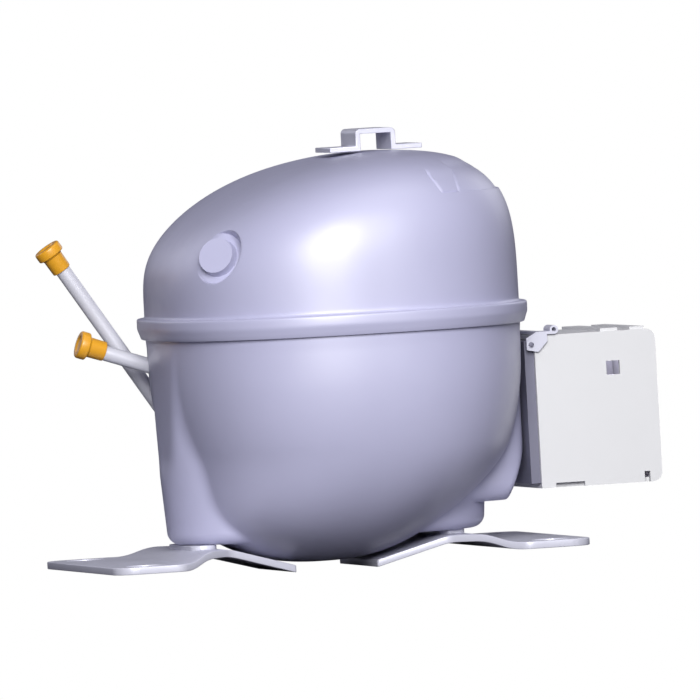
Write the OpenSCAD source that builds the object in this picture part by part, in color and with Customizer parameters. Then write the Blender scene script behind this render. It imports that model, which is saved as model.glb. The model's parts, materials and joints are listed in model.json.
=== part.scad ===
// Hermetic reciprocating compressor with a Scotch-yoke pump on a sprung motor.
// Frame: origin at the centre of the four mounting holes on the underside of the
// feet, +X towards the terminal cover, +Y to the back, +Z up. Millimetres.

/* [Feet] */
// Spacing of the mounting holes along X
hole_dx = 170; // [150:1:190]
// Spacing of the mounting holes along Y
hole_dy = 101.6; // [90:0.1:120]
// Diameter of a mounting hole
hole_d = 16; // [10:0.5:19]
// Thickness of the foot plates
plate_t = 3; // [2:0.1:4]
// Metal left beyond a hole's centre, at the plate's end
foot_end = 15; // [12:0.5:20]
// Metal left beyond a hole's centre, at the plate's sides
foot_side = 13.2; // [12:0.1:20]

/* [Shell] */
// Shell centre, to the right of the feet's centre
shell_x = 11.5; // [8:0.1:13]
// Half length of the shell along X, outside
shell_a = 73.5; // [70:0.1:90]
// Half width of the shell along Y, outside
shell_b = 88; // [80:0.1:110]
// Sheet thickness of both shells
shell_t = 3; // [2:0.1:4]
// Height of the skirt's lower edge
seam_z = 92; // [88:0.1:100]
// Height of the skirt that laps over the lower shell
skirt_h = 8.5; // [6:0.1:12]
// Height of the dome's flat top
dome_z = 164.5; // [160:0.1:190]
// Depth of the belly under the mounting plane
belly_drop = 1.6; // [0.5:0.1:4]
// Height of the spring lobes' undersides
lobe_z = 8.4; // [7.4:0.1:12]
// Radius of a spring lobe
lobe_r = 32.5; // [30:0.1:36]

/* [Tubes] */
// Outer diameter of the connecting tubes
tube_d = 6.3; // [5:0.1:8]
// Wall of the connecting tubes
tube_wall = 0.9; // [0.6:0.1:1.2]
// Length of the long suction tube outside the shell
suction_len = 72; // [60:1:90]
// Length of the short discharge tube outside the shell
discharge_len = 27; // [24:1:45]

/* [Electrical] */
// Length of the terminal cover along X
cover_len = 51; // [48:0.5:65]
// Width of the terminal cover along Y
cover_w = 64; // [62:0.5:76]
// Height of the terminal cover
cover_h = 62.4; // [60:0.1:75]
// Wall of the terminal cover
cover_wall = 1.8; // [1.2:0.1:2.4]

/* [Motor] */
// Motor axis, to the right of the feet's centre
motor_x = 4.2; // [2:0.1:6]
// Length of the stator along X
stator_l = 88; // [84:1:92]
// Width of the stator along Y
stator_w = 80; // [76:1:92]
// Height of the lamination stack
stack_h = 42; // [36:1:44]
// Diameter of the rotor
rotor_d = 52; // [44:0.5:56]
// Air gap between rotor and stator
air_gap = 0.4; // [0.3:0.05:0.6]
// Diameter of the crankshaft's main journal
shaft_d = 16; // [14:0.5:18]

/* [Pump] */
// Bore of the cylinder
bore_d = 24; // [20:0.5:26]
// Stroke of the piston
stroke = 15; // [12:0.5:17]
// Diameter of the crank pin
pin_d = 12; // [10:0.5:13]
// Height of the cylinder axis
cyl_z = 126; // [124:0.5:128]
// Radial running clearance of every fit
fit = 0.03; // [0.02:0.01:0.05]
// Coils of a suspension spring
spring_turns = 5; // [4:1:7]

/* [Hidden] */

steel = [0.74, 0.74, 0.80];
dark_steel = [0.38, 0.38, 0.44];
bright = [0.86, 0.86, 0.90];
copper = [0.80, 0.46, 0.26];
gold = [0.88, 0.66, 0.14];
cast = [0.42, 0.43, 0.45];
ivory = [0.86, 0.83, 0.74];
black = [0.12, 0.12, 0.13];

// ---------- shell surfaces ----------
plan_n = 2.4;
dome_n = 4;
belly_n = 2.4;
boss_n = 8;
lap_gap = 0.15;
rim_z = seam_z + 5.8;
wall_z = seam_z + skirt_h + 1.1;
dome_slope = 0.0028;
dome_peak_x = 40;
belly_z = -belly_drop;
lobe_gap = 33;
lobe_round = 5;
lobe_draft = 0.07;
boss_x = shell_x + shell_a - 1;
boss_w = 30;
boss_z = 19;
boss_round = 8;
segments = 60;

function super_r(a, b, n, th) =
    pow(pow(abs(cos(th)) / a, n) + pow(abs(sin(th)) / b, n), -1 / n);
function plan_r(off, th) = super_r(shell_a + off, shell_b + off, plan_n, th);
function dome_top(x) =
    dome_z - dome_slope * pow(max(0, dome_peak_x - x), 2);

// A point of the dome: th goes round, t climbs from the wall (0) to the crown (90)
function dome_point(off, th, t) =
    let (r = plan_r(off, th) * pow(cos(t), 2 / dome_n))
    let (x = shell_x + r * cos(th))
    [x, r * sin(th), wall_z + (dome_top(x) + off - wall_z) * pow(sin(t), 2 / dome_n)];
function wall_point(off, th, z) =
    [shell_x + plan_r(off, th) * cos(th), plan_r(off, th) * sin(th), z];

// Depth below the seam as a share of the bowl, and the bowl's section there
function sunk(z) = min(1, max(0, (seam_z - z) / (seam_z - belly_z)));
function ease(s) = let (c = min(1, max(0, s))) c * c * (3 - 2 * c);
function bowl_x(z) = shell_x * ease((z - 5) / 40);
function bowl_share(z) = pow(1 - pow(sunk(z), belly_n), 1 / belly_n);
function corner(r, low, z) =
    z >= low + r ? 0 : -r + sqrt(max(0, r * r - pow(low + r - z, 2)));
// Distance from the bowl's centre, along th, to a circle centred at x on the X axis
function circle_ray(x, r, th) =
    let (s = r * r - pow(x * sin(th), 2))
    s < 0 ? 0 : max(0, x * cos(th) + sqrt(s));
function lobe_ray(side, off, th, z) =
    let (r = lobe_r + off + corner(lobe_round, lobe_z - off, z) + lobe_draft * (z - lobe_z))
    circle_ray(motor_x + side * lobe_gap - bowl_x(z), max(0.1, r), th);
function boss_ray(off, th, z) =
    cos(th) <= 0 ? 0 :
    super_r(boss_x + off + corner(boss_round, boss_z - off, z) - bowl_x(z),
        boss_w + off + corner(boss_round, boss_z - off, z), boss_n, th);
function bowl_ray(off, th, z) =
    let (k = bowl_share(z))
    super_r(max(0.5, shell_a * k + off), max(0.5, shell_b * k + off), plan_n, th);
// with_lobe and with_boss are 0 below the flat undersides of those pockets
function lower_ray(off, th, z, with_lobe, with_boss) =
    min(plan_r(off, th),
        max(bowl_ray(off, th, z),
            with_lobe * lobe_ray(-1, off, th, z),
            with_lobe * lobe_ray(1, off, th, z),
            with_boss * boss_ray(off, th, z)));
function lower_point(off, th, z, with_lobe, with_boss) =
    let (r = lower_ray(off, th, z, with_lobe, with_boss))
    [bowl_x(z) + r * cos(th), r * sin(th), z];

// Faces between rings of equal size, closed by a pole at each end
function ring_faces(rings, n) = [
    for (i = [0 : rings - 2], j = [0 : n - 1]) let (k = (j + 1) % n)
        each [[i * n + j, (i + 1) * n + k, i * n + k], [i * n + j, (i + 1) * n + j, (i + 1) * n + k]]];
module ring_solid(rings, first_pole, last_pole) {
    n = len(rings[0]);
    m = len(rings);
    points = [for (ring = rings) each ring, first_pole, last_pole];
    faces = concat(
        [for (j = [0 : n - 1]) [m * n, j, (j + 1) % n]],
        ring_faces(m, n),
        [for (j = [0 : n - 1]) [m * n + 1, (m - 1) * n + (j + 1) % n, (m - 1) * n + j]]);
    polyhedron(points = points, faces = faces, convexity = 8);
}
turn = [for (j = [0 : segments - 1]) j * 360 / segments];

// Heights of the lower shell's rings, each with its pocket switches; the two
// entries at one height make the flat underside of a pocket
bowl_steps = [1, 3.2, 6.4];
lobe_steps = [0, 0.6, 2, 3.6, lobe_round];
boss_steps = [0, 1.2, 3.5, boss_round];
function lower_levels(off) =
    let (floor_z = belly_z - off, lobe_low = lobe_z - off, boss_low = boss_z - off)
    concat(
        [for (s = bowl_steps) [floor_z + s, 0, 0]],
        [[lobe_low, 0, 0]],
        [for (s = lobe_steps) [lobe_low + s, 1, 0]],
        [[boss_low, 1, 0]],
        [for (s = boss_steps) [boss_low + s, 1, 1]],
        [for (z = [34 : 8 : 82]) [z, 1, 1]]);

function lower_rings(off) = [for (l = lower_levels(off)) [for (th = turn)
    lower_point(off, th, l[0], l[1], l[2])]];
function rim_ring(off, z) = [for (th = turn) wall_point(off, th, z)];
function reversed(list) = [for (i = [len(list) - 1 : -1 : 0]) list[i]];

// Cylinder from a point, along a direction given by its rise over the -X axis
module along(root, rise, heading = 180) {
    translate(root) rotate([0, 90 - rise, heading]) children();
}
// Solid of revolution standing along +X
module along_x(x, y, z) {
    translate([x, y, z]) rotate([0, 90, 0]) children();
}
module ring(outer_d, inner_d, h) {
    difference() {
        cylinder(d = outer_d, h = h, $fn = 64);
        translate([0, 0, -1]) cylinder(d = inner_d, h = h + 2, $fn = 64);
    }
}
module rounded_box(size, r) {
    linear_extrude(size[2]) rounded_rect(size[0], size[1], r);
}
// Exact rounded rectangle, centred
module rounded_rect(l, w, r) {
    square([l - 2 * r, w], center = true);
    square([l, w - 2 * r], center = true);
    for (i = [-1, 1], j = [-1, 1]) {
        translate([i * (l / 2 - r), j * (w / 2 - r)]) circle(r = r, $fn = 32);
    }
}

// ---------- shells ----------
suction_y = 50;
suction_z = seam_z - 23.3;
suction_rise = 57;
discharge_y = 30;
discharge_z = seam_z - 10.4;
discharge_rise = 19;
process_x = 45;
process_z = seam_z - 22;
tube_inside = 9;
terminal_z = seam_z - 37;
terminal_d = 32;

function wall_x(y) = shell_a * pow(1 - pow(y / shell_b, plan_n), 1 / plan_n);
function wall_y(x) =
    shell_b * pow(1 - pow(abs(x - shell_x) / shell_a, plan_n), 1 / plan_n);
suction_root = [shell_x - wall_x(suction_y), suction_y, suction_z];
discharge_root = [shell_x - wall_x(discharge_y), discharge_y, discharge_z];
process_root = [process_x, wall_y(process_x) - 1, process_z];
process_len = 30;

module tube_places(which) {
    if (which == "suction") along(suction_root, suction_rise) children();
    if (which == "discharge") along(discharge_root, discharge_rise) children();
    if (which == "process") along(process_root, 12, 90) children();
}
module tube_holes() {
    for (which = ["suction", "discharge", "process"]) {
        tube_places(which) translate([0, 0, -30]) cylinder(d = tube_d, h = 60, $fn = 48);
    }
}

module lower_shell() {
    rings = concat(lower_rings(0), [rim_ring(0, seam_z), rim_ring(0, rim_z)],
        [rim_ring(-shell_t, rim_z), rim_ring(-shell_t, seam_z)], reversed(lower_rings(-shell_t)));
    color(steel) difference() {
        ring_solid(rings, [0, 0, belly_z], [0, 0, belly_z + shell_t]);
        tube_holes();
        along_x(boss_x - 12, 0, terminal_z) cylinder(d = terminal_d, h = 24, $fn = 64);
        along_x(boss_x - 12, earth_y, earth_z) cylinder(d = earth_d, h = 24, $fn = 32);
        // flat seat of the terminal fence
        translate([boss_x, -fence_w / 2 - 1, fence_low - 1]) cube([4, fence_w + 2, fence_h + 2]);
    }
}

skirt_off = shell_t + lap_gap;
skirt_taper = 1.4;
skirt_taper_h = 4.2;
dome_steps = [6, 12, 19, 26, 34, 43, 53, 63, 72, 80, 86];
function dome_rings(off) = [for (t = dome_steps) [for (th = turn) dome_point(off, th, t)]];
function crown(off) = [shell_x, 0, dome_top(shell_x) + off];
// Round pocket pressed into the low side of the dome, with a round boss in it
pocket_x = -49;
pocket_y = -52;
pocket_d = 24;
pocket_boss_d = 15;
pocket_depth = 4;
pocket_heading = 230;
pocket_tilt = 22;
// Height of the dome's surface over a point
function dome_over(x, y) =
    let (share = pow(abs(x - shell_x) / shell_a, plan_n) + pow(abs(y) / shell_b, plan_n))
    wall_z + (dome_top(x) - wall_z) * pow(1 - pow(share, dome_n / plan_n), 1 / dome_n);
module pocket_frame(h) {
    along([pocket_x, pocket_y, dome_over(pocket_x, pocket_y)], pocket_tilt, pocket_heading)
        translate([0, 0, h]) children();
}

module upper_shell() {
    outer = concat([rim_ring(lap_gap, seam_z), rim_ring(skirt_off - skirt_taper, seam_z),
        rim_ring(skirt_off, seam_z + skirt_taper_h), rim_ring(skirt_off, seam_z + skirt_h - 0.8),
        rim_ring(skirt_off - 0.9, seam_z + skirt_h), rim_ring(0, wall_z)], dome_rings(0));
    inner = [rim_ring(lap_gap, rim_z + lap_gap), rim_ring(-shell_t, rim_z + lap_gap),
        rim_ring(-shell_t, wall_z)];
    color(steel) {
        difference() {
            union() {
                ring_solid(concat(reversed(dome_rings(-shell_t)), reversed(inner), outer),
                    crown(-shell_t), crown(0));
                intersection() {
                    ring_solid(concat([rim_ring(0, wall_z)], dome_rings(0)),
                        [shell_x, 0, wall_z], crown(0));
                    pocket_frame(-pocket_depth - shell_t)
                        cylinder(d = pocket_d + 2 * shell_t, h = 30, $fn = 64);
                }
            }
            pocket_frame(-pocket_depth) cylinder(d = pocket_d, h = 40, $fn = 64);
        }
        pocket_frame(-pocket_depth - 0.5) cylinder(d = pocket_boss_d, h = pocket_depth, $fn = 64);
    }
}

// ---------- feet ----------
foot_x = hole_dx / 2 + foot_end;
foot_y = hole_dy / 2 + foot_side;
pad_x = foot_x - 28;
platform_out = motor_x + lobe_gap + 21;
platform_in = platform_out - 12;
platform_y = 38;
tongue_x = 17;
tongue_y = 31;
tongue_drop = 4.6;
weld_pad_h = 1.6;
platform_z = lobe_z - weld_pad_h;
foot_corner = 9;

// Side profile of a foot plate, from the outer end to the tip of the tongue
module foot_profile() {
    rise = platform_z - plate_t;
    polygon([
        [foot_x, 0], [pad_x - 5, 0], [platform_out, rise], [platform_in, rise],
        [tongue_x, -tongue_drop], [tongue_x, plate_t - tongue_drop],
        [platform_in, platform_z], [platform_out, platform_z], [pad_x - 5, plate_t],
        [foot_x, plate_t]]);
}
module foot_plan() {
    difference() {
        union() {
            polygon([[pad_x, -foot_y], [platform_in, -platform_y], [tongue_x, -tongue_y],
                [tongue_x, tongue_y], [platform_in, platform_y], [pad_x, foot_y]]);
            translate([pad_x, -foot_y]) square([foot_x - foot_corner - pad_x, 2 * foot_y]);
            translate([pad_x, foot_corner - foot_y])
                square([foot_x - pad_x, 2 * (foot_y - foot_corner)]);
            for (s = [-1, 1])
                translate([foot_x - foot_corner, s * (foot_y - foot_corner)])
                    circle(r = foot_corner, $fn = 48);
        }
        for (s = [-1, 1]) {
            translate([hole_dx / 2, s * hole_dy / 2]) circle(d = hole_d, $fn = 48);
        }
    }
}
module foot_plate(side) {
    mirror([side < 0 ? 1 : 0, 0, 0]) {
        intersection() {
            translate([0, foot_y + 1, 0]) rotate([90, 0, 0]) linear_extrude(2 * foot_y + 2) foot_profile();
            translate([0, 0, -10]) linear_extrude(30) foot_plan();
        }
        translate([platform_out - 6, 0, platform_z - 0.01])
            linear_extrude(weld_pad_h + 0.01) rounded_rect(11, 44, 5);
    }
}
module foot_plate_left() {
    color(bright) foot_plate(-1);
}
module foot_plate_right() {
    color(bright) foot_plate(1);
}

// ---------- top bracket ----------
bracket_x = 31;
bracket_w = 16.8;
bracket_d = 24.5;
bracket_h = 9;
bracket_foot = 11;
bracket_t = 2;
module top_bracket() {
    base = dome_z;
    half = bracket_w / 2;
    color(bright) translate([bracket_x, bracket_d / 2, base]) rotate([90, 0, 0]) linear_extrude(bracket_d)
        difference() {
            union() {
                translate([-half, 0]) square([bracket_w, bracket_h - 2]);
                translate([2 - half, 0]) square([bracket_w - 4, bracket_h]);
                for (s = [-1, 1]) {
                    translate([s * (half - 2), bracket_h - 2]) circle(r = 2, $fn = 32);
                }
                translate([-half - bracket_foot, 0]) square([bracket_w + 2 * bracket_foot, bracket_t]);
            }
            translate([bracket_t - half, -1])
                square([bracket_w - 2 * bracket_t, bracket_h - bracket_t + 1]);
        }
}

// ---------- tubes and plugs ----------
module straight_tube(length) {
    translate([0, 0, -tube_inside]) difference() {
        cylinder(d = tube_d, h = length + tube_inside, $fn = 48);
        translate([0, 0, -1]) cylinder(d = tube_d - 2 * tube_wall, h = length + tube_inside + 2, $fn = 48);
    }
}
module suction_tube() {
    color(bright) tube_places("suction") straight_tube(suction_len);
}
module discharge_tube() {
    color(bright) tube_places("discharge") straight_tube(discharge_len);
}
module process_tube() {
    color(bright) tube_places("process") straight_tube(process_len);
}
// Stopper that slips over a tube's end: flanged head, collar and skirt
plug_grip = 8;
plug_head = 3;
plug_gap = 0.4;
module plug(length) {
    bore = tube_d / 2 + fit;
    top = plug_head + plug_gap;
    translate([0, 0, length]) rotate_extrude($fn = 64) polygon([
        [0, plug_gap], [bore, plug_gap], [bore, -plug_grip], [bore + 0.9, -plug_grip],
        [bore + 1.4, plug_gap - 3.6], [bore + 2.3, plug_gap - 2.8], [bore + 2.3, plug_gap - 1.4],
        [bore + 1.5, plug_gap - 0.8], [bore + 1.5, plug_gap + 0.2], [bore + 2.5, plug_gap + 0.9],
        [bore + 2.5, top - 0.8], [bore + 1.8, top], [0, top]]);
}
module plug_suction() {
    color(gold) tube_places("suction") plug(suction_len);
}
module plug_discharge() {
    color(gold) tube_places("discharge") plug(discharge_len);
}
module plug_process() {
    color(gold) tube_places("process") plug(process_len);
}

// ---------- terminal, relay and cover ----------
pin_r = 8;
pin_wire = 2.3;
bead_d = 7;
cover_x = boss_x + 3.8;
cover_low = terminal_z - 31.9;
cover_high = cover_low + cover_h;
fence_gap = 0.3;
fence_t = 1.2;
fence_depth = 10;
fence_w = cover_w - 2 * cover_wall - 2 * fence_gap;
fence_low = cover_low + cover_wall + fence_gap;
fence_h = cover_h - 2 * cover_wall - 2 * fence_gap;
latch_x = boss_x + 2;
latch_z = cover_high - 3.5;
latch_pin_d = 2;
ear_gap = 0.3;
ear_t = 1.2;
relay_x = boss_x + 6;
relay_depth = 22;
overload_z = terminal_z - 18.5;
overload_r = 10;
earth_y = 18;
earth_z = terminal_z + 20;
earth_d = 3.9;

module pin_places() {
    for (a = [90, 210, 330]) {
        translate([0, pin_r * cos(a), terminal_z + pin_r * sin(a)]) children();
    }
}
module terminal_cup() {
    color(bright) difference() {
        union() {
            along_x(boss_x - shell_t - 2, 0, terminal_z) cylinder(d = terminal_d + 3, h = 1.5, $fn = 64);
            along_x(boss_x - shell_t - 1, 0, terminal_z)
                cylinder(d = terminal_d - 0.2, h = shell_t + 1, $fn = 64);
        }
        pin_places() along_x(boss_x - 10, 0, 0) cylinder(d = bead_d, h = 20, $fn = 32);
    }
}
module terminal_glass() {
    color([0.25, 0.45, 0.42]) pin_places() along_x(boss_x - shell_t - 2.5, 0, 0)
        ring(bead_d, pin_wire, shell_t + 3.5);
}
module terminal_pins() {
    color(bright) pin_places() along_x(boss_x - 16, 0, 0) cylinder(d = pin_wire, h = 30, $fn = 32);
}
module terminal_fence() {
    color(bright) {
        difference() {
            translate([boss_x, -fence_w / 2, fence_low]) cube([fence_depth, fence_w, fence_h]);
            translate([boss_x + fence_t, fence_t - fence_w / 2, fence_low + fence_t])
                cube([fence_depth, fence_w - 2 * fence_t, fence_h - 2 * fence_t]);
            along_x(boss_x - 1, 0, terminal_z) cylinder(d = terminal_d - 4, h = 4, $fn = 64);
            along_x(boss_x - 1, earth_y, earth_z) cylinder(d = earth_d + 0.1, h = 4, $fn = 32);
        }
        for (s = [-1, 1]) {
            translate([latch_x, s * (fence_w / 2 + 1.8), latch_z]) rotate([90, 0, 0])
                cylinder(d = latch_pin_d, h = 5.4, center = true, $fn = 32);
        }
    }
}
module start_relay() {
    color(ivory) difference() {
        translate([relay_x, -15, terminal_z - 7]) cube([relay_depth, 30, 27]);
        pin_places() along_x(relay_x - 1, 0, 0) cylinder(d = pin_wire + 2 * 0.1, h = 10, $fn = 32);
        translate([relay_x + relay_depth - 4, -11, terminal_z + 8]) cube([5, 22, 3]);
    }
}
module overload_protector() {
    color(black) along_x(boss_x + fence_t + 0.4, 0, overload_z) rotate_extrude($fn = 64) polygon([
        [0, 0], [overload_r, 0], [overload_r, 8], [overload_r - 1.5, 9.5],
        [overload_r - 4, 9.5], [overload_r - 4, 11], [0, 11]]);
}
module overload_clip() {
    x = boss_x + fence_t;
    color(bright) {
        for (s = [-1, 1]) {
            translate([x, s * (overload_r + 1.2) - 0.4, overload_z - 3]) cube([12.6, 0.8, 6]);
        }
        translate([x + 11.8, -overload_r - 1.6, overload_z - 3]) cube([0.8, 2 * overload_r + 3.2, 6]);
    }
}
module earth_screw() {
    color(gold) {
        along_x(boss_x - 2, earth_y, earth_z) cylinder(d = earth_d, h = 5, $fn = 32);
        along_x(boss_x + fence_t, earth_y, earth_z) cylinder(d = 7.5, h = 2.6, $fn = 48);
    }
}
// Outline of the cover seen from the front, open to the left
module cover_outline(inset, r) {
    low = cover_low + inset;
    high = cover_high - inset;
    far = cover_x + cover_len - inset;
    near = cover_x - (inset > 0 ? 1 : 0);
    translate([near, low]) square([far - r - near, high - low]);
    translate([near, low + r]) square([far - near, high - low - 2 * r]);
    for (z = [low + r, high - r]) {
        translate([far - r, z]) circle(r = r, $fn = 32);
    }
}
module cover_block(inset, r, w) {
    translate([0, w / 2, 0]) rotate([90, 0, 0]) linear_extrude(w) cover_outline(inset, r);
}
rib_h = 1.2;
module terminal_cover() {
    color([0.92, 0.92, 0.92]) {
        difference() {
            cover_block(0, 4, cover_w);
            cover_block(cover_wall, 2.2, cover_w - 2 * cover_wall);
            // square window in the front wall
            translate([cover_x + 29.8, -cover_w / 2 - 1, cover_high - 17.8])
                cube([5.7, cover_wall + 2, 5.7]);
            // slots along the lower edge of the front wall
            translate([cover_x + 6, -cover_w / 2 - 1, cover_low - 1]) cube([12.2, cover_wall + 2, 2.9]);
            translate([cover_x + 43.5, -cover_w / 2 - 1, cover_low - 1]) cube([2.4, cover_wall + 2, 5.4]);
            // cable outlet in the underside
            translate([cover_x + 22, 0, cover_low - 1]) cylinder(d = 12, h = cover_wall + 2, $fn = 48);
        }
        for (rib = [[28.5, 7.3], [41, 6]]) {
            translate([cover_x + rib[0], -cover_w / 2 + 2, cover_high - 0.1])
                cube([rib[1], cover_w - 4, rib_h + 0.1]);
        }
    }
}
module cover_latch() {
    y = cover_w / 2 + ear_gap;
    top = cover_high + ear_gap;
    color(bright) {
        for (s = [-1, 1]) {
            translate([0, s * (y + ear_t / 2) + ear_t / 2, 0]) rotate([90, 0, 0]) linear_extrude(ear_t)
                difference() {
                    polygon([[latch_x - 1.8, latch_z - 2.2], [latch_x + 3, latch_z - 3.2],
                        [latch_x + 7, latch_z + 1], [latch_x + 7, top + ear_t],
                        [latch_x + 2.6, top + ear_t], [latch_x - 1.8, latch_z + 2.6]]);
                    translate([latch_x, latch_z]) circle(d = latch_pin_d + 2 * fit, $fn = 32);
                }
        }
        translate([latch_x + 2.6, -y - 0.1, top]) cube([4.4, 2 * y + 0.2, ear_t]);
        translate([latch_x + 6.9, -y - ear_t, top]) cube([3.1, 10, ear_t]);
        translate([latch_x + 10, -y - ear_t, top + 1.8]) rotate([-90, 0, 0]) ring(3.6, 1.8, 10);
    }
}

// ---------- suspension ----------
spring_x = 40;
spring_y = 15;
spring_wire = 1.8;
spring_d = 13.4;
floor_z = lobe_z + shell_t;
peg_base = 1.6;
peg_d = 9;
stator_z = 42;
rail_t = 2.5;
cap_base = 1.6;
spring_low = floor_z + peg_base;
spring_high = stator_z - rail_t - cap_base;
module spring_places() {
    for (i = [-1, 1], j = [-1, 1]) {
        translate([motor_x + i * spring_x, j * spring_y, 0]) children();
    }
}
module spring_pegs() {
    color(ivory) spring_places() translate([0, 0, floor_z]) {
        cylinder(d = spring_d + 1.4, h = peg_base, $fn = 48);
        cylinder(d = peg_d, h = peg_base + 7, $fn = 48);
    }
}
module spring_caps() {
    color(ivory) spring_places() translate([0, 0, spring_high]) {
        cylinder(d = spring_d + 1.4, h = cap_base, $fn = 48);
        translate([0, 0, -7]) cylinder(d = peg_d, h = 7 + cap_base, $fn = 48);
    }
}
// Tube swept along points; each ring is square to the path
function cross3(a, b) = [a[1] * b[2] - a[2] * b[1], a[2] * b[0] - a[0] * b[2], a[0] * b[1] - a[1] * b[0]];
function unit(v) = v / norm(v);
function heading(p, i) = unit(p[min(i + 1, len(p) - 1)] - p[max(i - 1, 0)]);
function sweep_ring(p, i, r, sides, up) =
    let (t = heading(p, i), u = unit(cross3(up, t)), v = cross3(t, u))
    [for (k = [0 : sides - 1]) p[i] + r * (u * cos(k * 360 / sides) + v * sin(k * 360 / sides))];
module swept(p, r, sides, up) {
    ring_solid([for (i = [0 : len(p) - 1]) sweep_ring(p, i, r, sides, up)], p[0], p[len(p) - 1]);
}
coil_steps = 14;
module spring(i, j) {
    r = (spring_d - spring_wire) / 2;
    low = spring_low + spring_wire / 2 + 0.02;
    rise = spring_high - spring_low - spring_wire - 0.04;
    path = [for (k = [0 : spring_turns * coil_steps]) let (a = k * 360 / coil_steps)
        [r * cos(a), r * sin(a), low + rise * k / (spring_turns * coil_steps)]];
    color(dark_steel) translate([motor_x + i * spring_x, j * spring_y, 0])
        swept(path, spring_wire / 2 - 0.02, 6, [0, 0, 1]);
}
module spring_front_left() { spring(-1, -1); }
module spring_front_right() { spring(1, -1); }
module spring_back_left() { spring(-1, 1); }
module spring_back_right() { spring(1, 1); }

// ---------- motor ----------
bolt_x = stator_l / 2 - 7;
bolt_y = stator_w / 2 - 7;
bolt_d = 5;
slot_count = 24;
slot_w = 3.4;
slot_out = rotor_d / 2 + 10;
winding_in = rotor_d / 2 + 2.6;
winding_out = rotor_d / 2 + 8.5;
winding_low_h = 16;
winding_high_h = 11.5;
stator_top = stator_z + stack_h;
module bolt_places() {
    for (i = [-1, 1], j = [-1, 1]) {
        translate([motor_x + i * bolt_x, j * bolt_y, 0]) children();
    }
}
module suspension_rail(side) {
    rail_in = bolt_x - 6;
    rail_out = spring_x + 7.5;
    color(dark_steel) difference() {
        translate([motor_x + side * (rail_in + rail_out) / 2, 0, stator_z - rail_t])
            rounded_box([rail_out - rail_in, stator_w - 6, rail_t], 6);
        bolt_places() translate([0, 0, stator_z - 10]) cylinder(d = bolt_d + 0.4, h = 20, $fn = 32);
        translate([motor_x, 0, stator_z - 10]) cylinder(r = winding_out + 1, h = 20, $fn = 64);
    }
}
module suspension_rail_left() { suspension_rail(-1); }
module suspension_rail_right() { suspension_rail(1); }
module stator_core() {
    color(dark_steel) difference() {
        translate([motor_x, 0, stator_z]) rounded_box([stator_l, stator_w, stack_h], 10);
        translate([motor_x, 0, stator_z - 1])
            cylinder(d = rotor_d + 2 * air_gap, h = stack_h + 2, $fn = 96);
        translate([motor_x, 0, stator_z - 1]) linear_extrude(stack_h + 2) slot_plan(slot_w, 0);
        bolt_places() translate([0, 0, stator_z - 1]) cylinder(d = bolt_d + 0.4, h = stack_h + 2, $fn = 32);
    }
}
module slot_plan(w, inset) {
    for (k = [0 : slot_count - 1]) {
        rotate(k * 360 / slot_count) translate([rotor_d / 2 + inset, -w / 2])
            square([slot_out - rotor_d / 2 - 1.5 * inset, w]);
    }
}
module winding_ring(low, h) {
    translate([motor_x, 0, low]) rotate_extrude($fn = 96) polygon([
        [winding_in, 0.5], [winding_in + 2, 0], [winding_out - 3, 0], [winding_out, 3],
        [winding_out, h - 3], [winding_out - 3, h], [winding_in + 2, h], [winding_in, h - 2]]);
}
module winding_lower() {
    color(copper) {
        winding_ring(stator_z - winding_low_h, winding_low_h);
        translate([motor_x, 0, stator_z - 0.1]) linear_extrude(stack_h + 0.1) slot_plan(slot_w - 0.6, 2.8);
    }
}
module winding_upper() {
    color(copper) winding_ring(stator_top, winding_high_h);
}
block_z = stator_top + 12.8;
block_t = 8.5;
block_top = block_z + block_t;
module stator_bolts() {
    color(bright) bolt_places() {
        translate([0, 0, stator_z - rail_t - 3.4]) cylinder(d = 9, h = 3.4, $fn = 6);
        translate([0, 0, stator_z - rail_t - 1]) cylinder(d = bolt_d, h = block_top - stator_z + rail_t + 3,
            $fn = 32);
    }
}

// ---------- rotor and crankshaft ----------
cage_h = 8;
hub_d = 28;
hub_low = stator_z + 30;
hub_clear = 1;
shaft_low = stator_z - 12;
web_z = block_top + 1.3;
web_t = 5.4;
crank_r = stroke / 2;
pin_top = cyl_z + 8;
nozzle_d = 2.4;
module rotor_core() {
    color(dark_steel) translate([motor_x, 0, 0]) difference() {
        translate([0, 0, stator_z]) cylinder(d = rotor_d, h = stack_h, $fn = 96);
        translate([0, 0, stator_z - 1]) cylinder(d = shaft_d, h = stack_h + 2, $fn = 64);
        translate([0, 0, hub_low - 2]) cylinder(d = hub_d + 2 * hub_clear, h = stack_h, $fn = 64);
        bar_places() translate([0, 0, stator_z - 1]) cylinder(d = 3, h = stack_h + 2, $fn = 24);
    }
}
bar_count = 16;
module bar_places() {
    for (k = [0 : bar_count - 1]) {
        rotate(k * 360 / bar_count) translate([rotor_d / 2 - 3.4, 0, 0]) children();
    }
}
module rotor_cage() {
    color([0.78, 0.79, 0.81]) translate([motor_x, 0, 0]) {
        for (z = [stator_z - cage_h, stator_top]) {
            translate([0, 0, z]) ring(rotor_d - 1.6, hub_d + 4, cage_h);
        }
        bar_places() translate([0, 0, stator_z - 0.5]) cylinder(d = 3, h = stack_h + 1, $fn = 24);
    }
}
module balance_weight() {
    z = stator_z - cage_h - 5;
    color(gold) translate([motor_x, 0, z]) difference() {
        ring(rotor_d - 3, hub_d + 6, 5);
        translate([0, -rotor_d, -1]) cube([2 * rotor_d, 2 * rotor_d, 8]);
    }
}
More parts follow.
